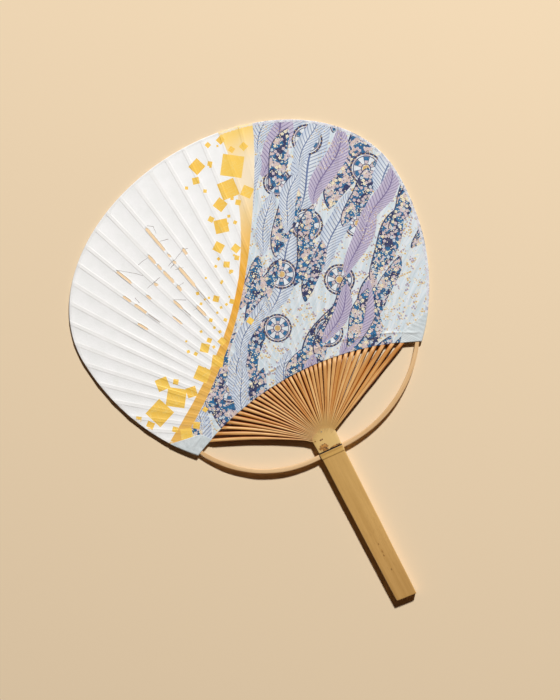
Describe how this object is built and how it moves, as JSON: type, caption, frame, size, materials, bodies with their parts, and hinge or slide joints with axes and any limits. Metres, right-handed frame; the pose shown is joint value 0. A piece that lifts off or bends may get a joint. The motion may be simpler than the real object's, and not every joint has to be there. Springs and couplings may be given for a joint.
{
  "type": "round paper fan",
  "caption": "Round hand fan with a decorated paper leaf over split bamboo ribs, a bent bow through its neck and a flat bamboo handle.",
  "frame": {"origin": "middle of the grip, on its flat back", "axes": "+Y from the handle to the top of the leaf, +Z out of the decorated face, +X to the right seen from that face"},
  "size_m": [0.2709, 0.3714, 0.0068],
  "materials": {
    "bamboo_handle": "planed bamboo, satin skin with fine length-wise fibres",
    "bamboo_rib": "split bamboo, dry and fibrous",
    "bamboo_bow": "shaved bamboo, pale satin",
    "cotton_thread": "plain spun thread",
    "decorated_paper": "matt handmade paper, white and printed, with gold leaf",
    "plain_paper": "matt handmade paper, plain",
    "binding_paper": "thin matt paper strip",
    "ear_paper": "thin pale blue paper"
  },
  "bodies": {
    "root": {"handle": "bamboo_handle", "rib_01": "bamboo_rib", "rib_02": "bamboo_rib", "rib_03": "bamboo_rib", "rib_04": "bamboo_rib", "rib_05": "bamboo_rib", "rib_06": "bamboo_rib", "rib_07": "bamboo_rib", "rib_08": "bamboo_rib", "rib_09": "bamboo_rib", "rib_10": "bamboo_rib", "rib_11": "bamboo_rib", "rib_12": "bamboo_rib", "rib_13": "bamboo_rib", "rib_14": "bamboo_rib", "rib_15": "bamboo_rib", "rib_16": "bamboo_rib", "rib_17": "bamboo_rib", "rib_18": "bamboo_rib", "rib_19": "bamboo_rib", "rib_20": "bamboo_rib", "rib_21": "bamboo_rib", "rib_22": "bamboo_rib", "rib_23": "bamboo_rib", "rib_24": "bamboo_rib", "rib_25": "bamboo_rib", "rib_26": "bamboo_rib", "rib_27": "bamboo_rib", "rib_28": "bamboo_rib", "rib_29": "bamboo_rib", "rib_30": "bamboo_rib", "rib_31": "bamboo_rib", "rib_32": "bamboo_rib", "rib_33": "bamboo_rib", "rib_34": "bamboo_rib", "rib_35": "bamboo_rib", "rib_36": "bamboo_rib", "rib_37": "bamboo_rib", "bow": "bamboo_bow", "weaving_thread": "cotton_thread", "front_paper": "decorated_paper", "back_paper": "plain_paper", "edge_binding": "binding_paper", "ear_left": "ear_paper", "ear_right": "ear_paper"}
  },
  "joints": []
}
